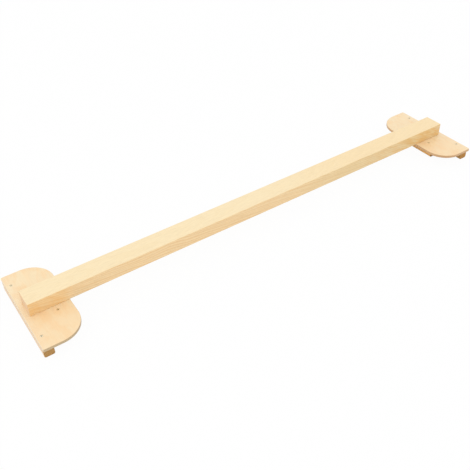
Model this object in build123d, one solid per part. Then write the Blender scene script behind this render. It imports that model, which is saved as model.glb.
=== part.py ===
from build123d import *
import os

# A wooden pull up bar. A rectangular beam lies on two plywood end plates, one at each end. Under each plate
# two battens leave a channel between them, which drops over the rail that carries the bar. Sizes are in
# millimetres. X runs along the beam, Z is up, and the origin is on the floor under the middle of the beam.

# Beam
BEAM_LENGTH = 1470.0
BEAM_WIDTH = 61.0
BEAM_HEIGHT = 41.5
BEAM_EDGE_RADIUS = 2.0
BEAM_END_RADIUS = 1.5

# End plates: the depth is along X and follows from the battens, the channel and the inner lip
PLATE_LENGTH = 305.0
PLATE_THICKNESS = 9.0
PLATE_OVERHANG = 15.0
PLATE_INNER_LIP = 26.0
PLATE_INNER_CORNER_RADIUS = 70.0
PLATE_OUTER_CORNER_RADIUS = 4.0
PLATE_EDGE_RADIUS = 1.2

# Battens, cut from one stock
BATTEN_WIDTH = 28.0
BATTEN_HEIGHT = 29.0
BATTEN_FOOT_RADIUS = 5.0
BATTEN_END_RADIUS = 1.0
OUTER_BATTEN_SETBACK = 9.0
INNER_BATTEN_LENGTH = 150.0
CHANNEL_WIDTH = 40.0

# Screws that hold the battens, driven down through the plate
BATTEN_SCREW_DIAMETER = 4.0
BATTEN_SCREW_CORE = 2.6
BATTEN_SCREW_HEAD = 8.0
BATTEN_SCREW_PITCH = 1.8
BATTEN_SCREW_COVER = 8.0
OUTER_SCREW_END_DISTANCE = 36.0
INNER_SCREW_END_DISTANCE = 28.0

# Screws that hold the beam, driven up through the plate
BEAM_SCREW_DIAMETER = 5.0
BEAM_SCREW_CORE = 3.3
BEAM_SCREW_HEAD = 10.0
BEAM_SCREW_PITCH = 2.4
BEAM_SCREW_COVER = 10.0
BEAM_SCREW_SIDE_DISTANCE = 15.0

# What all screws share
HEAD_SINK = 0.4
HEAD_RIM = 0.4
SCREW_CLEARANCE = 0.05
TIP_CLEARANCE = 1.0
TIP_SLENDERNESS = 1.1
SHANK_SHARE = 0.4
THREAD_ROOT_SINK = 0.2
THREAD_CREST = 0.12
THREAD_FLANK_SHARE = 0.45
RECESS_SPAN_SHARE = 0.56
RECESS_WING_SHARE = 0.15
RECESS_DEPTH_SHARE = 0.28
RECESS_TAPER = 6.0

# Places that follow from the sizes
PLATE_DEPTH = 2 * BATTEN_WIDTH + CHANNEL_WIDTH + PLATE_INNER_LIP
OUTER_BATTEN_LENGTH = PLATE_LENGTH - 2 * OUTER_BATTEN_SETBACK
OUTER_EDGE_X = BEAM_LENGTH / 2 + PLATE_OVERHANG
PLATE_UNDERSIDE = BATTEN_HEIGHT
PLATE_TOP = PLATE_UNDERSIDE + PLATE_THICKNESS
OUTER_BATTEN_AXIS = BATTEN_WIDTH / 2
INNER_BATTEN_AXIS = BATTEN_WIDTH + CHANNEL_WIDTH + BATTEN_WIDTH / 2
CHANNEL_AXIS = BATTEN_WIDTH + CHANNEL_WIDTH / 2
INNER_LIP_AXIS = PLATE_DEPTH - PLATE_INNER_LIP / 2
OUTER_SCREW_Y = OUTER_BATTEN_LENGTH / 2 - OUTER_SCREW_END_DISTANCE
INNER_SCREW_Y = INNER_BATTEN_LENGTH / 2 - INNER_SCREW_END_DISTANCE
BEAM_SCREW_Y = BEAM_WIDTH / 2 - BEAM_SCREW_SIDE_DISTANCE
SIDES = {"left": -1, "right": 1}
ROWS = {"front": -1, "rear": 1}


class ScrewKind:
    """A countersunk wood screw: its sizes, its turned profile and its solids, head up at the origin."""

    def __init__(self, diameter, core, head, pitch, length):
        self.radius = diameter / 2
        self.core_radius = core / 2
        self.head_radius = head / 2
        self.pitch = pitch
        self.length = length
        self.shank_radius = (self.radius + self.core_radius) / 2
        self.seat_depth = HEAD_RIM + self.head_radius - self.shank_radius
        self.tip_length = TIP_SLENDERNESS * diameter
        self.shank_end = max(SHANK_SHARE * length, self.seat_depth)

    def body(self):
        """The head, its 90 degree seat, the plain shank, the core and the point, turned about Z."""
        outline = [
            (0, 0),
            (self.head_radius, 0),
            (self.head_radius, -HEAD_RIM),
            (self.shank_radius, -self.seat_depth),
            (self.shank_radius, -self.shank_end),
            (self.core_radius, -self.shank_end),
            (self.core_radius, -self.length + self.tip_length),
            (0, -self.length),
        ]
        return revolve(Plane.XZ * make_face(Polyline(*outline, close=True)), Axis.Z)

    def thread(self):
        """One right-hand thread, from the point to the plain shank, with its root sunk in the core."""
        run = self.length - self.tip_length - self.shank_end - self.pitch / 2
        path = Helix(self.pitch, run, self.core_radius, center=(0, 0, -self.length + self.tip_length))
        section = Plane(origin=path @ 0, x_dir=(1, 0, 0), z_dir=path % 0)
        height = self.radius - self.core_radius
        root = THREAD_FLANK_SHARE * self.pitch / 2
        ridge = Polyline(
            (-THREAD_ROOT_SINK, -root),
            (height, -THREAD_CREST / 2),
            (height, THREAD_CREST / 2),
            (-THREAD_ROOT_SINK, root),
            close=True,
        )
        return sweep(section * make_face(ridge), path=path, is_frenet=True)

    def recess(self):
        """The cross recess for the driver, narrowing downwards."""
        span = RECESS_SPAN_SHARE * 2 * self.head_radius
        wing = RECESS_WING_SHARE * 2 * self.head_radius
        depth = RECESS_DEPTH_SHARE * 2 * self.head_radius
        cross = Rectangle(span, wing) + Rectangle(wing, span)
        return extrude(cross, amount=-depth, taper=RECESS_TAPER)

    def solid(self):
        return self.body() + self.thread() - self.recess()

    def hole(self):
        """What the screw takes out of the timber: sink, seat, thread hole and the room past its point."""
        head = self.head_radius + SCREW_CLEARANCE
        shank = self.radius + SCREW_CLEARANCE
        seat_end = HEAD_RIM + head - shank
        outline = [
            (0, HEAD_SINK),
            (head, HEAD_SINK),
            (head, -HEAD_RIM),
            (shank, -seat_end),
            (shank, -self.length - TIP_CLEARANCE),
            (0, -self.length - TIP_CLEARANCE),
        ]
        return revolve(Plane.XZ * make_face(Polyline(*outline, close=True)), Axis.Z)


BATTEN_SCREW = ScrewKind(
    BATTEN_SCREW_DIAMETER,
    BATTEN_SCREW_CORE,
    BATTEN_SCREW_HEAD,
    BATTEN_SCREW_PITCH,
    PLATE_THICKNESS + BATTEN_HEIGHT - BATTEN_SCREW_COVER - HEAD_SINK,
)
BEAM_SCREW = ScrewKind(
    BEAM_SCREW_DIAMETER,
    BEAM_SCREW_CORE,
    BEAM_SCREW_HEAD,
    BEAM_SCREW_PITCH,
    PLATE_THICKNESS + BEAM_HEIGHT - BEAM_SCREW_COVER - HEAD_SINK,
)


def inwards(side, distance):
    """X of a place so far in from the outer edge of the plate on that side."""
    return side * (OUTER_EDGE_X - distance)


def driven_down(x, y):
    """Where a batten screw sits: its head just under the plate's top, pointing down."""
    return Location((x, y, PLATE_TOP - HEAD_SINK))


def driven_up(x, y):
    """Where a beam screw sits: its head just inside the plate's underside, pointing up."""
    return Location((x, y, PLATE_UNDERSIDE + HEAD_SINK), (180, 0, 0))


def screw_places(side_name):
    """Each screw of one end: its name, its kind and its place."""
    side = SIDES[side_name]
    places = {}
    for row_name, row in ROWS.items():
        outer = driven_down(inwards(side, OUTER_BATTEN_AXIS), row * OUTER_SCREW_Y)
        inner = driven_down(inwards(side, INNER_BATTEN_AXIS), row * INNER_SCREW_Y)
        channel = driven_up(inwards(side, CHANNEL_AXIS), row * BEAM_SCREW_Y)
        lip = driven_up(inwards(side, INNER_LIP_AXIS), row * BEAM_SCREW_Y)
        places[f"{side_name}_outer_batten_screw_{row_name}"] = (BATTEN_SCREW, outer)
        places[f"{side_name}_inner_batten_screw_{row_name}"] = (BATTEN_SCREW, inner)
        places[f"{side_name}_beam_screw_channel_{row_name}"] = (BEAM_SCREW, channel)
        places[f"{side_name}_beam_screw_lip_{row_name}"] = (BEAM_SCREW, lip)
    return places


def beam():
    """The long timber, with its long edges and its end edges eased."""
    bar = Pos(0, 0, PLATE_TOP + BEAM_HEIGHT / 2) * Box(BEAM_LENGTH, BEAM_WIDTH, BEAM_HEIGHT)
    bar = fillet(bar.edges().filter_by(Axis.X), BEAM_EDGE_RADIUS)
    ends = bar.faces().sort_by(Axis.X)
    return fillet(ends[0].edges() + ends[-1].edges(), BEAM_END_RADIUS)


def end_plate(side):
    """A plywood plate: square at its outer edge, with two large rounded inner corners."""
    outline = Pos(inwards(side, PLATE_DEPTH / 2), 0) * Rectangle(PLATE_DEPTH, PLATE_LENGTH)
    from_inside = outline.vertices().sort_by(Axis.X, reverse=side < 0)
    outline = fillet(from_inside[2:], PLATE_OUTER_CORNER_RADIUS)
    from_inside = outline.vertices().sort_by(Axis.X, reverse=side < 0)
    outline = fillet(from_inside[:2], PLATE_INNER_CORNER_RADIUS)
    plate = extrude(Pos(0, 0, PLATE_UNDERSIDE) * outline, amount=PLATE_THICKNESS)
    faces = plate.faces().sort_by(Axis.Z)
    return fillet(faces[0].edges() + faces[-1].edges(), PLATE_EDGE_RADIUS)


def batten(side, axis, length):
    """A batten along Y under the plate, with rounded foot edges and eased ends."""
    stick = Pos(inwards(side, axis), 0, BATTEN_HEIGHT / 2) * Box(BATTEN_WIDTH, length, BATTEN_HEIGHT)
    foot = stick.faces().sort_by(Axis.Z)[0]
    stick = fillet(foot.edges().filter_by(Axis.Y), BATTEN_FOOT_RADIUS)
    ends = stick.faces().sort_by(Axis.Y)
    return fillet(ends[0].edges() + ends[-1].edges(), BATTEN_END_RADIUS)


def drilled(timber, places, kind=None):
    """The timber with the holes of the screws at these places, or of one kind of them."""
    holes = [place * screw.hole() for screw, place in places.values() if kind in (None, screw)]
    return timber - holes


def at_axis(places, side, axis):
    """The batten screws whose places lie on one batten's axis."""
    x = inwards(side, axis)
    half = BATTEN_WIDTH / 2
    return {name: held for name, held in places.items() if abs(held[1].position.X - x) < half}


def main():
    os.makedirs("parts", exist_ok=True)
    nodes = {}
    all_places = {}
    solids = {BATTEN_SCREW: BATTEN_SCREW.solid(), BEAM_SCREW: BEAM_SCREW.solid()}
    for side_name, side in SIDES.items():
        places = screw_places(side_name)
        all_places.update(places)
        nodes[f"{side_name}_end_plate"] = drilled(end_plate(side), places)
        outer = batten(side, OUTER_BATTEN_AXIS, OUTER_BATTEN_LENGTH)
        inner = batten(side, INNER_BATTEN_AXIS, INNER_BATTEN_LENGTH)
        nodes[f"{side_name}_outer_batten"] = drilled(outer, at_axis(places, side, OUTER_BATTEN_AXIS))
        nodes[f"{side_name}_inner_batten"] = drilled(inner, at_axis(places, side, INNER_BATTEN_AXIS))
        for name, (kind, place) in places.items():
            nodes[name] = place * solids[kind]
    nodes["grip_beam"] = drilled(beam(), all_places, BEAM_SCREW)
    for name, solid in nodes.items():
        export_step(solid, f"parts/{name}.step")


main()
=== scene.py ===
import math

import bpy
import numpy as np
from bpy.props import FloatProperty, FloatVectorProperty, IntProperty, PointerProperty
from bpy.types import Operator, Panel, PropertyGroup
from mathutils import Matrix, Vector


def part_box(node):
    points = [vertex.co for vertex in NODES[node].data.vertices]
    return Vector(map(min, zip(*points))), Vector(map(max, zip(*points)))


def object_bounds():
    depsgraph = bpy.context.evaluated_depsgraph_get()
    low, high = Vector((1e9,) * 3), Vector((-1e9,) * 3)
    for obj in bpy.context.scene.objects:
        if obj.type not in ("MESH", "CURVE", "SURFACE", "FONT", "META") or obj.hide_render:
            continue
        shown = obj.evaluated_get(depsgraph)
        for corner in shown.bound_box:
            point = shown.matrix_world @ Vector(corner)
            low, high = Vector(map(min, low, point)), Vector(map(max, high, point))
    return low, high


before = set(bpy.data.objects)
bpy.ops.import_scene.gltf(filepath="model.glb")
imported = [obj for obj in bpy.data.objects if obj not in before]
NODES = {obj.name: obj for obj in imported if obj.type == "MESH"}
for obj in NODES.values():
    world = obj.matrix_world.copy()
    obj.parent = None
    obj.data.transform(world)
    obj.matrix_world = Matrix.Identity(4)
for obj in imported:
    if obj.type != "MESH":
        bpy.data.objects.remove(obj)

bl_info = {
    "name": "Wooden Pull Up Bar",
    "version": (1, 0, 0),
    "blender": (4, 5, 0),
    "location": "3D View > Sidebar > Pull Up Bar",
    "description": "Finishes the timber, plywood and screws of a pull up bar and sets it on a white stage",
    "category": "Object",
}

CAD_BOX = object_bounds()
BEAM = "grip_beam"
PLATES = sorted(name for name in NODES if name.endswith("_end_plate"))
BATTENS = sorted(name for name in NODES if name.endswith("_batten"))
SCREWS = sorted(name for name in NODES if "_screw_" in name)
BEAM_LOW, BEAM_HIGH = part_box(BEAM)
PLATE_LOW, PLATE_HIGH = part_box("right_end_plate")
BATTEN_LOW, BATTEN_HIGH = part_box("left_inner_batten")
# How far from the middle of the bar the middle of each channel lies
CHANNEL_AXIS = -(BATTEN_LOW.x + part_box("left_outer_batten")[1].x) / 2

# Stage: the picture's width in pixels, the sensor's in millimetres, and plain colours
PHOTO_PIXELS = 470
SENSOR_WIDTH = 36.0
WHITE = (1.0, 1.0, 1.0, 1.0)
FLOOR_WHITE = (0.93, 0.93, 0.93, 1.0)

# Places of the Mix node's sockets: its two numbers, its two colours and the mixed colour
MIX_NUMBERS = (2, 3)
MIX_COLOURS = (6, 7)
MIXED_COLOUR = 2

# Timber's noises: turns per metre along the grain, then in the two directions across it
FIBRE_STRETCH = (9.0, 620.0, 620.0)
PORE_STRETCH = (55.0, 1500.0, 1500.0)
PATCH_STRETCH = (2.4, 16.0, 16.0)
STREAK_STRETCH = (11.0, 95.0, 95.0)

# Growth rings: the tones across one ring, each after its place, how often in a metre the rings stray, how
# often and how far their widths change, and how strongly they show on the cut ends
RING_TONES = ((0.0, 0.10), (0.45, 0.18), (0.78, 0.75), (0.90, 1.0), (0.97, 0.35), (1.0, 0.10))
RING_STRAY = 9.0
RING_PACE = 0.45
RING_UNEVENNESS = 1.6
BEAM_END_RINGS = 0.6
BATTEN_END_RINGS = 0.8

# Timber's relief and roughness: what each pattern adds, and the strength of the relief
RING_HEIGHT = 0.5
FIBRE_HEIGHT = 0.5
PORE_DEPTH = 0.6
TIMBER_RELIEF = 0.6
FIBRE_DULLNESS = 0.06
PATCH_DULLNESS = (-0.04, 0.05)
END_DULLNESS = 0.22

# Plywood's noises: turns per metre along X, Y and Z
HILL_STRETCH = (16.0, 3.2, 6.0)
CLOUD_STRETCH = (38.0, 22.0, 38.0)
FLECK_STRETCH = (900.0, 60.0, 900.0)
PLY_FIBRE_STRETCH = (520.0, 14.0, 520.0)
PLY_PATCH_STRETCH = (9.0, 4.0, 9.0)
GRIT_STRETCH = (900.0, 900.0, 1500.0)

# Plywood's figure: the tones across one line, each after its place, the number of lines, and the strength
# of the small marks
CONTOUR_TONES = ((0.0, 0.0), (0.55, 0.15), (0.85, 1.0), (1.0, 0.0))
HILL_CONTOURS = 9.0
FLECK_CONTRAST = 0.25
GRIT_CONTRAST = 0.35
GLUE_CONTRAST = 0.55

# Plywood's painted warm shade and bounce light in front of the beam: how far its border wanders, in metres,
# and the share left at the front end
BORDER_WANDER = 0.04
FRONT_END_SHARE = 0.75

# Plywood's relief and roughness: what each pattern adds, and the strength of the relief
PLY_FIBRE_HEIGHT = 0.6
GRIT_HEIGHT = 0.4
PLY_RELIEF = 0.5
PLY_FIBRE_DULLNESS = 0.05
PLY_PATCH_DULLNESS = (-0.03, 0.05)

# Zinc plating's noises, in turns per metre along X, Y and Z, then its relief and its roughness
ZINC_CLOUD_STRETCH = (420.0, 420.0, 420.0)
SCRATCH_STRETCH = (2600.0, 500.0, 2600.0)
SCRATCH_DEPTH = 0.00002
ZINC_RELIEF = 0.4
ZINC_BRIGHTNESS = 0.08
ZINC_DULLNESS = 0.14

# Clear lacquer on the wood, and the shine of the wood under it
LACQUER = 0.4
SOAKED_LACQUER = 0.03
LACQUER_ROUGHNESS = 0.16
TIMBER_SHINE = 0.4
PLYWOOD_SHINE = 0.35

# Levels of a noise between which a pattern comes in
MOST_LEVELS = (0.3, 0.7)
NEARLY_ALL_LEVELS = (0.2, 0.8)
PORE_LEVELS = (0.64, 0.74)
STREAK_LEVELS = (0.40, 0.62)
CHANNEL_SHADE_LEVELS = (0.2, 0.6)
WEAR_LEVELS = (0.35, 0.65)
CLOUD_LEVELS = (0.42, 0.64)
FLECK_LEVELS = (0.66, 0.76)
GRIT_LEVELS = (0.45, 0.7)
RIM_LEVELS = (0.4, 0.6)
DULL_LEVELS = (0.35, 0.7)

# Strength of a pattern at its weakest and at its fullest
# The first is the painted warm shade near the beam's ends, at its weakest and at its fullest
ENDS_SHADE_SHARES = (0.12, 1.0)
STREAK_SHARES = (0.2, 1.0)
CHANNEL_SHADE_SHARES = (0.7, 1.0)
WEAR_SHARES = (0.4, 1.0)
RIM_SHARES = (0.3, 1.0)

# How far a surface turns to an axis, from nought to one, as one tone gives way to the next
TURNED_TO = (0.35, 0.9)
TOP_FACE = (0.55, 0.98)
FLAT_FACE = (0.55, 0.85)
OFF_THE_SIDE = (0.05, 0.4)
OFF_THE_FLAT = (0.98, 0.8)
CUT_ACROSS = (0.2, 0.95)

# Places in metres between which one tone gives way to the next, and in layers for the glue line
LEFT_TO_RIGHT = (-0.1, 0.1)
OUTER_TO_INNER = (-0.005, 0.005)
# Where the painted shade in front of the beam comes in, and where it fades towards the front end
BEAM_TO_FRONT = (-0.02, -0.07)
FRONT_FADE = (-0.05, -0.11)
OUTER_STRIP = (0.030, 0.008)
# Where the painted light on the straight outer edge fades out
OUTER_RIM_LIGHT = (0.0025, 0.0005)
GLUE_LINE = (0.42, 0.49)

# The middle of a noise's colour, what lies across the grain, and the turn that lays a pattern's X along Y
NOISE_MIDDLE = (0.5, 0.5, 0.5)
ACROSS_GRAIN = (0.0, 1.0, 1.0)
QUARTER_TURN = (0.0, 0.0, -math.pi / 2)


def colour(name, description, default):
    """A colour that a user would change, in linear light."""
    return FloatVectorProperty(
        name=name,
        description=description,
        default=default,
        subtype="COLOR",
        min=0,
        max=1,
    )


def length(name, description, default):
    """A size that a user would change, in metres."""
    return FloatProperty(name=name, description=description, default=default, unit="LENGTH", precision=5)


def angle(name, description, degrees):
    """An angle that a user would change."""
    return FloatProperty(name=name, description=description, default=math.radians(degrees), unit="ROTATION")


def share(name, description, default):
    """A part of a whole, from none to all."""
    return FloatProperty(name=name, description=description, default=default, subtype="FACTOR", min=0, max=1)


def number(name, description, default):
    """A plain number."""
    return FloatProperty(name=name, description=description, default=default)


class TimberLook:
    """What sawn timber shows: growth rings round a pith, fibres along the grain, and darker cut ends."""

    ring_spacing: length("Ring spacing", "Distance from one growth ring to the next", 0.006)
    ring_wander: length("Ring wander", "How far the rings stray from true circles", 0.018)
    ring_reach: length("Ring reach", "Length of timber over which the rings stray and come back", 0.30)
    ring_contrast: share("Ring contrast", "How far the late wood goes to its own colour", 0.60)
    fibre_contrast: share("Fibre contrast", "How strong the fine fibre streaks are", 0.06)
    pore_contrast: share("Pore contrast", "How dark the short pores are", 0.25)
    edge_wear: share("Edge wear", "How far the handled edges go to bare pale wood", 0.30)
    relief: length("Relief", "Height of the grain that shows in the finish", 0.00012)
    roughness: share("Roughness", "Roughness of the lacquer", 0.42)


class BeamLook(TimberLook, PropertyGroup):
    """The long beam's timber."""

    early: colour("Early wood", "Pale wood between the rings, on the top face", (0.965, 0.79, 0.495))
    late: colour("Late wood", "Darker wood of the rings, on the top face", (0.945, 0.755, 0.455))
    side_early: colour("Side early wood", "Pale wood on the side faces", (0.93, 0.70, 0.395))
    side_late: colour("Side late wood", "Ring wood on the side faces", (0.77, 0.44, 0.16))
    top_tint: colour("Top tint", "Warmer tint of the top face towards the right end", (1.0, 0.957, 0.894))
    side_tint: colour("Side tint", "Deeper tint of the side faces towards the right end", (0.925, 0.96, 0.92))
    # The deep tone is painted warm light and shade that the plates bounce onto the side faces near the ends,
    # and it is also the colour of the leaning streaks of grain there
    deep: colour("Deep tone", "Warmer wood that comes and goes along the beam", (0.85, 0.49, 0.17))
    end: colour("Cut end", "Wood of the cut ends", (0.765, 0.545, 0.35))
    pith_across: length("Pith across", "How far behind the beam's middle the pith lies", 0.012)
    pith_below: length("Pith below", "How far under the beam's middle the pith lies", 0.075)
    pith_tilt: angle("Pith tilt", "How far the pith leans from the beam's own line", -4.0)
    # These three set where the painted warm shade on the side faces is least, where it begins, and how strong
    # it grows near the ends
    pale_place: length("Pale place", "Where along the beam its side faces are palest", -0.10)
    pale_reach: length("Pale reach", "How far from there the deep tone begins", 0.40)
    ends_shade_and_streaks: share("End warmth", "How far the side faces go to the deep tone near the ends", 0.72)
    streak_tilt: angle("Streak tilt", "How far the broad streaks lean from the beam's own line", -22.0)


class BattenLook(TimberLook, PropertyGroup):
    """The battens' timber."""

    early: colour("Early wood", "Pale wood between the rings", (0.80, 0.52, 0.22))
    late: colour("Late wood", "Darker wood of the rings", (0.60, 0.32, 0.10))
    end: colour("Cut end", "Wood of the cut ends", (0.54, 0.30, 0.095))
    end_late: colour("Cut end rings", "Ring wood of the cut ends", (0.29, 0.155, 0.04))
    right_tint: colour("Right tint", "Deeper tint of the right-hand battens' timber", (1.0, 0.85, 0.45))
    # Painted shade on the walls in the channel, under the plate and between the battens
    channel_shade_tint: colour("Channel tint", "Darker tint of the walls that the rails rub", (0.50, 0.50, 0.46))
    # Painted shade on the inner battens' cut ends, which lie under the plates
    inner_end_shade: share("Inner end", "How much darker the inner battens' cut ends are", 0.80)
    pith_across: length("Pith across", "How far beside the batten's middle the pith lies", 0.030)
    pith_below: length("Pith below", "How far under the batten's middle the pith lies", 0.045)
    pith_tilt: angle("Pith tilt", "How far the pith leans from the batten's own line", 2.0)


class PlywoodLook(PropertyGroup):
    """The end plates' birch plywood: a plain peeled face, and layers that show at the edge."""

    face: colour("Face", "Pale wood of the face layer", (0.955, 0.772, 0.495))
    # The figure colour also colours the painted warm shade and bounce light in front of the beam
    figure: colour("Figure", "Warmer lines and clouds of the peeled face", (0.955, 0.655, 0.355))
    # The outer strip's colour also gives the painted light on the straight outer edge
    outer: colour("Outer strip", "Paler wood of the face along the straight outer edge", (0.94, 0.80, 0.58))
    rim: colour("Rim", "Rounded rim, where the face layer is cut across and burnished", (0.66, 0.40, 0.20))
    edge_along: colour("Edge along", "Layers whose grain runs along the edge", (0.76, 0.54, 0.32))
    edge_across: colour("Edge across", "Layers cut across their grain", (0.545, 0.325, 0.165))
    glue: colour("Glue", "Glue lines between the layers", (0.40, 0.24, 0.12))
    left_tint: colour("Left tint", "Greyer tint of the left-hand plate's edge", (0.86, 0.98, 1.0))
    right_tint: colour("Right tint", "Deeper tint of the right-hand plate's edge", (0.98, 0.92, 0.82))
    layers: IntProperty(name="Layers", description="Number of layers in the plate", default=7, min=3)
    figure_contrast: share("Figure contrast", "How strong the peeled figure is", 0.30)
    cloud_contrast: share("Cloud contrast", "How strong the broad clouds of the face are", 0.55)
    outer_pale: share("Outer paleness", "How far the outer strip goes to its own colour", 0.22)
    # Painted light on the straight outer edge
    outer_rim_light: share("Outer rim", "How far the straight outer edge goes to the outer strip's colour", 0.45)
    # Painted warm shade and light bounced from the beam, on the face in front of it
    front_bounce_shade: share("Front warmth", "How far the front half of the face goes to the figure colour", 0.42)
    fibre_contrast: share("Fibre contrast", "How strong the fine fibre streaks are", 0.03)
    edge_wear: share("Edge wear", "How far the rounded rim goes to its own tone", 0.70)
    relief: length("Relief", "Height of the grain that shows in the finish", 0.00008)
    roughness: share("Roughness", "Roughness of the lacquer", 0.44)


class ScrewLook(PropertyGroup):
    """The zinc plated screws."""

    zinc: colour("Zinc", "Bright plating", (0.92, 0.83, 0.62))
    dull: colour("Dull zinc", "Plating that has gone dull", (0.76, 0.68, 0.50))
    roughness: share("Roughness", "Roughness of the plating", 0.42)


class StageLook(PropertyGroup):
    """The floor, the light and the camera."""

    camera_place: FloatVectorProperty(
        name="Camera place",
        description="Where the camera stands",
        default=(-0.9298, -1.2685, 1.2356),
        subtype="TRANSLATION",
        unit="LENGTH",
    )
    camera_turn: angle("Camera turn", "Turn of the view from +Y towards +X", 33.325)
    camera_drop: angle("Camera drop", "How far the view drops below level", 39.772)
    camera_roll: angle("Camera roll", "Roll of the picture about the view", -1.608)
    focal_pixels: number("Focal pixels", "Focal length in pixels of the picture", 657.06)
    sky_level: number("Sky level", "Strength of the even white light from all round", 1.0)
    lamp_level: number("Lamp level", "Power of the side lamp in watts", 12.0)
    lamp_place: FloatVectorProperty(
        name="Lamp place",
        description="Where the side lamp stands",
        default=(-3.6, -0.7, 1.0),
        subtype="TRANSLATION",
        unit="LENGTH",
    )
    lamp_width: length("Lamp width", "Width of the side lamp", 1.6)
    floor_width: length("Floor width", "Width of the floor", 30.0)
    floor_gap: length("Floor gap", "How far the floor lies under the battens' undersides", 0.0003)
    floor_lift: share("Floor lift", "How far the floor goes to plain white in the picture", 0.96)


class Finish:
    """A material's node tree, with short calls that add a node and feed it."""

    def __init__(self, name):
        self.material = bpy.data.materials.new(name)
        self.material.use_nodes = True
        self.tree = self.material.node_tree
        self.tree.nodes.clear()
        source = self.add("TexCoord")
        self.place = source.outputs["Object"]
        self.x, self.y, self.z = self.parts(self.place)
        self.turned = self.parts(source.outputs["Normal"])
        self.facing = [self.math("ABSOLUTE", part) for part in self.turned]

    def add(self, kind, feeds=None, **settings):
        """A node of this kind, whose inputs take a value or another node's output."""
        node = self.tree.nodes.new("ShaderNode" + kind)
        for key, value in settings.items():
            setattr(node, key, value)
        for key, value in (feeds or {}).items():
            self.feed(node.inputs[key], value)
        return node

    def feed(self, socket, value):
        """Links another node's output to the socket, or sets the socket to a plain value."""
        if isinstance(value, bpy.types.NodeSocket):
            self.tree.links.new(value, socket)
        else:
            socket.default_value = value

    def math(self, operation, first, second=0.0):
        return self.add("Math", {0: first, 1: second}, operation=operation).outputs[0]

    def plus(self, first, second):
        return self.math("ADD", first, second)

    def minus(self, first, second):
        return self.math("SUBTRACT", first, second)

    def times(self, first, second):
        return self.math("MULTIPLY", first, second)

    def vector(self, operation, first, second):
        return self.add("VectorMath", {0: first, 1: second}, operation=operation).outputs[0]

    def length(self, vector):
        return self.add("VectorMath", {0: vector}, operation="LENGTH").outputs["Value"]

    def parts(self, vector):
        return self.add("SeparateXYZ", {0: vector}).outputs

    def noise(self, place, stretch, detail=2.0, roughness=0.5, output="Fac"):
        """A noise with as many turns per metre along each axis as the stretch says."""
        spread = self.vector("MULTIPLY", place, stretch)
        feeds = {"Vector": spread, "Scale": 1.0, "Detail": detail, "Roughness": roughness}
        return self.add("TexNoise", feeds).outputs[output]

    def between(self, value, low, high, to_low=0.0, to_high=1.0):
        """The value carried from one range to another, eased at both ends and kept inside."""
        feeds = {"Value": value, "From Min": low, "From Max": high, "To Min": to_low, "To Max": to_high}
        return self.add("MapRange", feeds, interpolation_type="SMOOTHSTEP").outputs[0]

    def mix(self, factor, first, second, blend="MIX"):
        """Two colours mixed by a factor. A plain colour is given as three numbers."""
        node = self.add("Mix", {"Factor": factor}, data_type="RGBA", blend_type=blend)
        for index, value in zip(MIX_COLOURS, (first, second)):
            plain = not isinstance(value, bpy.types.NodeSocket)
            self.feed(node.inputs[index], (*value, 1.0) if plain else value)
        return node.outputs[MIXED_COLOUR]

    def ramp(self, factor, tones):
        """A ramp of grey through these tones, each given after its place."""
        node = self.add("ValToRGB", {"Fac": factor})
        elements = node.color_ramp.elements
        while len(elements) < len(tones):
            elements.new(0.5)
        for element, (place, tone) in zip(elements, tones):
            element.position = place
            element.color = (tone, tone, tone, 1.0)
        return node.outputs["Color"]

    def streaked(self, wood, fibres, contrast):
        """The wood a little darker and lighter along its fibres."""
        level = self.between(fibres, *MOST_LEVELS, 1.0 - contrast, 1.0 + contrast / 2)
        grey = self.add("CombineColor", {0: level, 1: level, 2: level}).outputs[0]
        return self.mix(1.0, wood, grey, "MULTIPLY")

    def rounded_edge(self):
        """One on a rounded edge under or over a flat face, and nought on the faces themselves."""
        off_the_side = self.between(self.facing[2], *OFF_THE_SIDE)
        off_the_flat = self.between(self.facing[2], *OFF_THE_FLAT)
        return self.times(off_the_side, off_the_flat)

    def dulled(self, roughness, fibres, reach):
        """The roughness with more or less of it, by as much as the reach, along the fibres."""
        return self.between(fibres, *NEARLY_ALL_LEVELS, roughness - reach, roughness + reach)

    def bump(self, height, distance, strength):
        return self.add("Bump", {"Height": height, "Distance": distance, "Strength": strength}).outputs[0]

    def close(self, **feeds):
        """The surface shader, fed by the names of its inputs with spaces written as low lines."""
        named = {key.replace("_", " "): value for key, value in feeds.items()}
        shader = self.add("BsdfPrincipled", named)
        output = self.add("OutputMaterial")
        self.tree.links.new(shader.outputs[0], output.inputs["Surface"])
        return self.material


def ring_pattern(finish, log, look):
    """Growth rings about the X line of the log frame: the distance from the pith, moved by a slow noise and
    divided by the ring spacing, whose fraction climbs from pale early wood to a dark late line and falls."""
    slow = finish.noise(log, (1 / look.ring_reach, RING_STRAY, RING_STRAY), output="Color")
    sway = (0.0, 2 * look.ring_wander, 2 * look.ring_wander)
    wander = finish.vector("MULTIPLY", finish.vector("SUBTRACT", slow, NOISE_MIDDLE), sway)
    across = finish.vector("MULTIPLY", finish.vector("ADD", log, wander), ACROSS_GRAIN)
    turns = finish.math("DIVIDE", finish.length(across), look.ring_spacing)
    feeds = {"W": turns, "Scale": RING_PACE, "Detail": 1.0}
    uneven = finish.add("TexNoise", feeds, noise_dimensions="1D").outputs["Fac"]
    turns = finish.plus(turns, finish.times(uneven, RING_UNEVENNESS))
    return finish.ramp(finish.math("FRACT", turns), RING_TONES)


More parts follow.
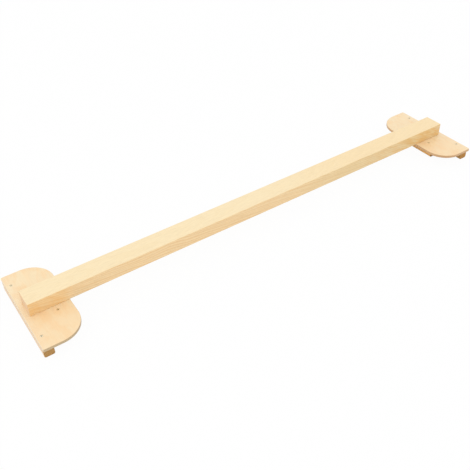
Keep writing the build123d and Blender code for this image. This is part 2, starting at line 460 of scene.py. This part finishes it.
class Grain:
    """The patterns of one timber: rings, and noises drawn out along the grain, which are the fine fibres, the
    short dark pores and the slow patches."""

    def __init__(self, finish, log, look):
        self.finish = finish
        self.look = look
        self.rings = ring_pattern(finish, log, look)
        self.fibres = finish.noise(log, FIBRE_STRETCH, detail=4.0, roughness=0.6)
        dashes = finish.noise(log, PORE_STRETCH, detail=1.0)
        self.pores = finish.between(dashes, *PORE_LEVELS)
        self.patches = finish.noise(log, PATCH_STRETCH)

    def colours(self, early, late):
        """Early and late wood mixed by the rings, then streaked by the fibres and dotted by the pores."""
        finish, look = self.finish, self.look
        wood = finish.mix(finish.times(self.rings, look.ring_contrast), early, late)
        wood = finish.streaked(wood, self.fibres, look.fibre_contrast)
        return finish.mix(finish.times(self.pores, look.pore_contrast), wood, late)

    def worn(self, wood, bare):
        """The rounded edges, where the hands rub: paler in broken patches."""
        finish = self.finish
        broken = finish.between(self.fibres, *WEAR_LEVELS, *WEAR_SHARES)
        rubbed = finish.times(finish.rounded_edge(), broken)
        return finish.mix(finish.times(rubbed, self.look.edge_wear), wood, bare)

    def relief(self):
        """Late wood stands a little proud, and pores sink."""
        finish = self.finish
        height = finish.plus(finish.times(self.rings, RING_HEIGHT), finish.times(self.fibres, FIBRE_HEIGHT))
        height = finish.minus(height, finish.times(self.pores, PORE_DEPTH))
        return finish.bump(height, self.look.relief, TIMBER_RELIEF)

    def roughness(self, end):
        """Satin lacquer, duller along some fibres, in slow patches and on the thirsty cut ends."""
        finish = self.finish
        level = finish.dulled(self.look.roughness, self.fibres, FIBRE_DULLNESS)
        level = finish.plus(level, finish.between(self.patches, *MOST_LEVELS, *PATCH_DULLNESS))
        return finish.plus(level, finish.times(end, END_DULLNESS))

    def close(self, wood, end):
        """The timber under its lacquer, which the cut ends soak up."""
        return self.finish.close(
            Base_Color=wood,
            Roughness=self.roughness(end),
            Normal=self.relief(),
            Specular_IOR_Level=TIMBER_SHINE,
            Coat_Weight=self.finish.between(end, 0.0, 1.0, LACQUER, SOAKED_LACQUER),
            Coat_Roughness=LACQUER_ROUGHNESS,
        )


def log_frame(finish, place, pith, tilt):
    """Coordinates about the pith: moved to it and leaned by the tilt, with X along the grain."""
    moved = finish.vector("SUBTRACT", place, tuple(pith))
    return finish.add("Mapping", {"Vector": moved, "Rotation": (0.0, tilt, tilt / 2)}).outputs[0]


def ends_shade_and_streaks(finish, pith, look):
    """How far the beam's side faces go to the deep tone: more with the distance from their pale place, which
    is painted warm light and shade bounced from the plates near the ends, in broad streaks of grain that lean
    from the beam's own line."""
    from_pale = finish.math("ABSOLUTE", finish.minus(finish.x, look.pale_place))
    shade_near_ends = finish.between(from_pale, look.pale_reach, BEAM_HIGH.x, *ENDS_SHADE_SHARES)
    leaned = log_frame(finish, finish.place, pith, look.streak_tilt)
    broad = finish.noise(leaned, STREAK_STRETCH, roughness=0.55)
    streaks = finish.between(broad, *STREAK_LEVELS, *STREAK_SHARES)
    return finish.times(finish.times(shade_near_ends, streaks), look.ends_shade_and_streaks)


def beam_timber(look):
    """The beam's material: rings about a pith under the beam, paler on top than on the sides, with a deep
    tone in leaning streaks along the length, which grows towards the ends as painted warm light and shade
    bounced from the plates."""
    finish = Finish("beam_timber_finish")
    middle = (BEAM_LOW + BEAM_HIGH) / 2
    pith = Vector((0.0, middle.y + look.pith_across, middle.z - look.pith_below))
    grain = Grain(finish, log_frame(finish, finish.place, pith, look.pith_tilt), look)
    rightwards = finish.between(finish.x, 0.0, BEAM_HIGH.x / 2)
    top = grain.colours(look.early, look.late)
    top = finish.mix(rightwards, top, look.top_tint, "MULTIPLY")
    side = grain.colours(look.side_early, look.side_late)
    # Painted warm light and shade near the beam's ends, in streaks of grain
    side = finish.mix(ends_shade_and_streaks(finish, pith, look), side, look.deep)
    side = finish.mix(rightwards, side, look.side_tint, "MULTIPLY")
    wood = finish.mix(finish.between(finish.facing[2], *TOP_FACE), side, top)
    wood = grain.worn(wood, look.early)
    end = finish.between(finish.facing[0], *TURNED_TO)
    cut = finish.mix(finish.times(grain.rings, BEAM_END_RINGS), look.end, look.side_late)
    return grain.close(finish.mix(end, wood, cut), end)


def shaded_channel_wall(finish, grain, inwards):
    """One on the faces that turn towards the channel, where the shade under the plate is painted, a little
    less in patches, and nought on the others.
    """
    to_channel = finish.times(finish.math("SIGN", inwards), finish.math("SIGN", finish.x))
    to_channel = finish.times(to_channel, finish.turned[0])
    patchy = finish.between(grain.patches, *CHANNEL_SHADE_LEVELS, *CHANNEL_SHADE_SHARES)
    return finish.times(finish.between(to_channel, *TURNED_TO), patchy)


def batten_timber(look):
    """The battens' material: the same make of timber, with its grain along Y, darker cut ends, painted shade
    on the inner battens' cut ends, and darker walls in the channel, which are painted shade under the plates."""
    finish = Finish("batten_timber_finish")
    middle = (BATTEN_LOW + BATTEN_HIGH) / 2
    along_y = finish.add("Mapping", {"Vector": finish.place, "Rotation": QUARTER_TURN}).outputs[0]
    pith = Vector((0.0, look.pith_across - middle.x, middle.z - look.pith_below))
    grain = Grain(finish, log_frame(finish, along_y, pith, look.pith_tilt), look)
    wood = grain.worn(grain.colours(look.early, look.late), look.early)
    inwards = finish.minus(CHANNEL_AXIS, finish.math("ABSOLUTE", finish.x))
    # Painted shade on the walls in the channel
    wood = finish.mix(shaded_channel_wall(finish, grain, inwards), wood, look.channel_shade_tint, "MULTIPLY")
    end = finish.between(finish.facing[1], *TURNED_TO)
    cut = finish.mix(finish.times(grain.rings, BATTEN_END_RINGS), look.end, look.end_late)
    # Painted shade on the inner battens' cut ends under the plates
    cut = finish.mix(finish.between(inwards, *OUTER_TO_INNER, 0.0, look.inner_end_shade), cut, look.end_late)
    wood = finish.mix(end, wood, cut)
    wood = finish.mix(finish.between(finish.x, *LEFT_TO_RIGHT), wood, look.right_tint, "MULTIPLY")
    return grain.close(wood, end)


def peeled_face(finish, look):
    """The plate's face: a peeled layer with its grain along Y, whose figure is the contours of a noise drawn
    out along the grain, with broad warm clouds and short flecks."""
    hills = finish.noise(finish.place, HILL_STRETCH, roughness=0.45)
    contour = finish.math("FRACT", finish.times(hills, HILL_CONTOURS))
    lines = finish.ramp(contour, CONTOUR_TONES)
    face = finish.mix(finish.times(lines, look.figure_contrast), look.face, look.figure)
    clouds = finish.noise(finish.place, CLOUD_STRETCH)
    face = finish.mix(finish.between(clouds, *CLOUD_LEVELS, 0.0, look.cloud_contrast), face, look.figure)
    dashes = finish.noise(finish.place, FLECK_STRETCH, detail=1.0)
    return finish.mix(finish.between(dashes, *FLECK_LEVELS, 0.0, FLECK_CONTRAST), face, look.figure)


def front_bounce_shade(finish, patches, look):
    """How far the plate's face goes to the figure colour, as painted warm shade and light bounced from the
    beam: not at all behind the beam, most just in front of it, and less towards the front end, with a border
    that wanders."""
    wander = finish.between(patches, *NEARLY_ALL_LEVELS, BORDER_WANDER, -BORDER_WANDER)
    forwards = finish.plus(finish.y, wander)
    near_beam = finish.between(forwards, *BEAM_TO_FRONT)
    least = FRONT_END_SHARE * look.front_bounce_shade
    return finish.times(near_beam, finish.between(forwards, *FRONT_FADE, look.front_bounce_shade, least))


def layered_edge(finish, look, grit):
    """The plate's edge: layers that turn by a right angle from one to the next, so each is pale where its
    grain runs along the edge and darker where it is cut across, with a glue line between."""
    thickness = (PLATE_HIGH.z - PLATE_LOW.z) / look.layers
    height = finish.math("DIVIDE", finish.minus(finish.z, PLATE_LOW.z), thickness)
    turned = finish.math("MODULO", finish.math("FLOOR", height), 2.0)
    sides = dict(zip(MIX_NUMBERS, (finish.facing[1], finish.facing[0])))
    across = finish.add("Mix", {"Factor": turned, **sides}).outputs[0]
    edge = finish.mix(finish.between(across, *CUT_ACROSS), look.edge_along, look.edge_across)
    edge = finish.mix(finish.between(grit, *GRIT_LEVELS, 0.0, GRIT_CONTRAST), edge, look.edge_across)
    from_middle = finish.math("ABSOLUTE", finish.minus(finish.math("FRACT", height), 0.5))
    edge = finish.mix(finish.between(from_middle, *GLUE_LINE, 0.0, GLUE_CONTRAST), edge, look.glue)
    tint = finish.mix(finish.between(finish.x, *LEFT_TO_RIGHT), look.left_tint, look.right_tint)
    return finish.mix(1.0, edge, tint, "MULTIPLY")


def birch_plywood(look):
    """The plates' material: a peeled face, layers that show at the edge, paler wood along the straight outer
    edge, and painted light on that edge itself."""
    finish = Finish("birch_plywood_finish")
    fibres = finish.noise(finish.place, PLY_FIBRE_STRETCH, detail=4.0, roughness=0.6)
    grit = finish.noise(finish.place, GRIT_STRETCH, detail=3.0)
    patches = finish.noise(finish.place, PLY_PATCH_STRETCH)
    face = finish.streaked(peeled_face(finish, look), fibres, look.fibre_contrast)
    # Painted warm shade and light bounced from the beam, in front of it
    face = finish.mix(front_bounce_shade(finish, patches, look), face, look.figure)
    from_edge = finish.minus(PLATE_HIGH.x, finish.math("ABSOLUTE", finish.x))
    face = finish.mix(finish.between(from_edge, *OUTER_STRIP, 0.0, look.outer_pale), face, look.outer)
    edge = layered_edge(finish, look, grit)
    wood = finish.mix(finish.between(finish.facing[2], *FLAT_FACE), edge, face)
    worn = finish.times(finish.rounded_edge(), finish.between(grit, *RIM_LEVELS, *RIM_SHARES))
    wood = finish.mix(finish.times(worn, look.edge_wear), wood, look.rim)
    # Painted light on the straight outer edges, in the outer strip's colour
    wood = finish.mix(finish.between(from_edge, *OUTER_RIM_LIGHT, 0.0, look.outer_rim_light), wood, look.outer)
    relief = finish.plus(finish.times(fibres, PLY_FIBRE_HEIGHT), finish.times(grit, GRIT_HEIGHT))
    roughness = finish.dulled(look.roughness, fibres, PLY_FIBRE_DULLNESS)
    return finish.close(
        Base_Color=wood,
        Roughness=finish.plus(roughness, finish.between(patches, *MOST_LEVELS, *PLY_PATCH_DULLNESS)),
        Normal=finish.bump(relief, look.relief, PLY_RELIEF),
        Specular_IOR_Level=PLYWOOD_SHINE,
        Coat_Weight=LACQUER,
        Coat_Roughness=LACQUER_ROUGHNESS,
    )


def zinc_plating(look):
    """The screws' material: bright plating clouded by a noise, rougher where it is dull."""
    finish = Finish("zinc_plating_finish")
    clouds = finish.noise(finish.place, ZINC_CLOUD_STRETCH, detail=3.0)
    scratches = finish.noise(finish.place, SCRATCH_STRETCH)
    dull = finish.between(clouds, *DULL_LEVELS)
    smoothest = look.roughness - ZINC_BRIGHTNESS
    roughest = look.roughness + ZINC_DULLNESS
    return finish.close(
        Base_Color=finish.mix(dull, look.zinc, look.dull),
        Metallic=1.0,
        Roughness=finish.between(dull, 0.0, 1.0, smoothest, roughest),
        Normal=finish.bump(scratches, SCRATCH_DEPTH, ZINC_RELIEF),
    )


def dress(names, material):
    """Puts one material on these CAD nodes."""
    for name in names:
        slots = NODES[name].data.materials
        slots.clear()
        slots.append(material)


def seen_directly(tree, path):
    """One for rays from the camera, from a mirror or through glass, and nought for light that lands."""
    sockets = ("Is Camera Ray", "Is Glossy Ray", "Is Transmission Ray")
    seen = path.outputs[sockets[0]]
    for name in sockets[1:]:
        node = tree.nodes.new("ShaderNodeMath")
        node.operation = "MAXIMUM"
        tree.links.new(seen, node.inputs[0])
        tree.links.new(path.outputs[name], node.inputs[1])
        seen = node.outputs[0]
    return seen


def floor_material(look):
    """White floor. Seen straight by the camera or in a reflection it goes most of the way to plain white, and
    what is left is its own shading, which keeps the bar's shadow."""
    material = bpy.data.materials.new("white_floor")
    material.use_nodes = True
    tree = material.node_tree
    tree.nodes.clear()
    paper = tree.nodes.new("ShaderNodeBsdfDiffuse")
    paper.inputs["Color"].default_value = FLOOR_WHITE
    glow = tree.nodes.new("ShaderNodeEmission")
    path = tree.nodes.new("ShaderNodeLightPath")
    seen = seen_directly(tree, path)
    lift = tree.nodes.new("ShaderNodeMath")
    lift.operation = "MULTIPLY"
    lift.inputs[1].default_value = look.floor_lift
    mix = tree.nodes.new("ShaderNodeMixShader")
    output = tree.nodes.new("ShaderNodeOutputMaterial")
    tree.links.new(seen, lift.inputs[0])
    tree.links.new(lift.outputs[0], mix.inputs[0])
    tree.links.new(paper.outputs[0], mix.inputs[1])
    tree.links.new(glow.outputs[0], mix.inputs[2])
    tree.links.new(mix.outputs[0], output.inputs["Surface"])
    return material


def lay_floor(look):
    """A square sheet a hair under the battens' undersides: its points are a two by two grid."""
    half = look.floor_width / 2
    across, along = np.meshgrid(np.array((-half, half)), np.array((-half, half)))
    height = np.full(across.size, CAD_BOX[0].z - look.floor_gap)
    points = np.stack((across.ravel(), along.ravel(), height), axis=1)
    mesh = bpy.data.meshes.new("floor")
    mesh.from_pydata(points.tolist(), [], [(0, 1, 3, 2)])
    mesh.materials.append(floor_material(look))
    floor = bpy.data.objects.new("floor", mesh)
    bpy.context.scene.collection.objects.link(floor)


def light_sky(look):
    """An even white sky, which the camera sees as plain white."""
    world = bpy.data.worlds.new("white_sky")
    bpy.context.scene.world = world
    world.use_nodes = True
    tree = world.node_tree
    tree.nodes.clear()
    light = tree.nodes.new("ShaderNodeBackground")
    light.inputs["Color"].default_value = WHITE
    light.inputs["Strength"].default_value = look.sky_level
    white = tree.nodes.new("ShaderNodeBackground")
    white.inputs["Color"].default_value = WHITE
    path = tree.nodes.new("ShaderNodeLightPath")
    mix = tree.nodes.new("ShaderNodeMixShader")
    output = tree.nodes.new("ShaderNodeOutputWorld")
    tree.links.new(seen_directly(tree, path), mix.inputs[0])
    tree.links.new(light.outputs[0], mix.inputs[1])
    tree.links.new(white.outputs[0], mix.inputs[2])
    tree.links.new(mix.outputs[0], output.inputs["Surface"])


def stand_lamp(look):
    """One wide square lamp beside the left end, turned to the middle of the bar."""
    lamp = bpy.data.lights.new("side_lamp", "AREA")
    lamp.energy = look.lamp_level
    lamp.size = look.lamp_width
    holder = bpy.data.objects.new("side_lamp", lamp)
    holder.location = look.lamp_place
    holder.rotation_euler = (-Vector(look.lamp_place)).to_track_quat("-Z", "Y").to_euler()
    bpy.context.scene.collection.objects.link(holder)


def place_camera(look):
    """The camera of the photograph. Its view line turns from +Y towards +X and drops below level, and the
    picture rolls about that line."""
    turn, drop, roll = look.camera_turn, look.camera_drop, look.camera_roll
    ahead = Vector((math.sin(turn) * math.cos(drop), math.cos(turn) * math.cos(drop), -math.sin(drop)))
    level = Vector((math.cos(turn), -math.sin(turn), 0.0))
    over = level.cross(ahead)
    right = math.cos(roll) * level + math.sin(roll) * over
    up = math.cos(roll) * over - math.sin(roll) * level
    lens = bpy.data.cameras.new("camera")
    lens.sensor_width = SENSOR_WIDTH
    lens.lens = look.focal_pixels / PHOTO_PIXELS * SENSOR_WIDTH
    camera = bpy.data.objects.new("camera", lens)
    axes = Matrix((right, up, -ahead)).transposed().to_4x4()
    camera.matrix_world = Matrix.Translation(look.camera_place) @ axes
    bpy.context.scene.collection.objects.link(camera)
    bpy.context.scene.camera = camera


class FinishBeam(Operator):
    """Give the beam its timber"""

    bl_idname = "pull_up_bar.finish_beam"
    bl_label = "Finish Beam"

    def execute(self, context):
        dress([BEAM], beam_timber(context.scene.beam_look))
        return {"FINISHED"}


class FinishPlates(Operator):
    """Give the end plates their plywood"""

    bl_idname = "pull_up_bar.finish_plates"
    bl_label = "Finish End Plates"

    def execute(self, context):
        dress(PLATES, birch_plywood(context.scene.plywood_look))
        return {"FINISHED"}


class FinishBattens(Operator):
    """Give the battens their timber"""

    bl_idname = "pull_up_bar.finish_battens"
    bl_label = "Finish Battens"

    def execute(self, context):
        dress(BATTENS, batten_timber(context.scene.batten_look))
        return {"FINISHED"}


class FinishScrews(Operator):
    """Give the screws their plating"""

    bl_idname = "pull_up_bar.finish_screws"
    bl_label = "Finish Screws"

    def execute(self, context):
        dress(SCREWS, zinc_plating(context.scene.screw_look))
        return {"FINISHED"}


class SetStage(Operator):
    """Lay the floor, light the bar and place the camera"""

    bl_idname = "pull_up_bar.set_stage"
    bl_label = "Set Stage"

    def execute(self, context):
        look = context.scene.stage_look
        context.scene.view_settings.view_transform = "Standard"
        lay_floor(look)
        light_sky(look)
        stand_lamp(look)
        place_camera(look)
        return {"FINISHED"}


STEPS = (FinishBeam, FinishPlates, FinishBattens, FinishScrews, SetStage)
LOOKS = {
    "beam_look": BeamLook,
    "batten_look": BattenLook,
    "plywood_look": PlywoodLook,
    "screw_look": ScrewLook,
    "stage_look": StageLook,
}


class PullUpBarPanel(Panel):
    """The steps that finish the bar"""

    bl_idname = "VIEW3D_PT_pull_up_bar"
    bl_label = "Pull Up Bar"
    bl_space_type = "VIEW_3D"
    bl_region_type = "UI"
    bl_category = "Pull Up Bar"

    def draw(self, context):
        for step in STEPS:
            self.layout.operator(step.bl_idname)


def register():
    for look in LOOKS.values():
        bpy.utils.register_class(look)
    for name, look in LOOKS.items():
        setattr(bpy.types.Scene, name, PointerProperty(type=look))
    for step in STEPS:
        bpy.utils.register_class(step)
    bpy.utils.register_class(PullUpBarPanel)


def unregister():
    bpy.utils.unregister_class(PullUpBarPanel)
    for step in reversed(STEPS):
        bpy.utils.unregister_class(step)
    for name in LOOKS:
        delattr(bpy.types.Scene, name)
    for look in reversed(LOOKS.values()):
        bpy.utils.unregister_class(look)


def main():
    register()
    bpy.ops.pull_up_bar.finish_beam()
    bpy.ops.pull_up_bar.finish_plates()
    bpy.ops.pull_up_bar.finish_battens()
    bpy.ops.pull_up_bar.finish_screws()
    bpy.ops.pull_up_bar.set_stage()


if __name__ == "__main__":
    main()
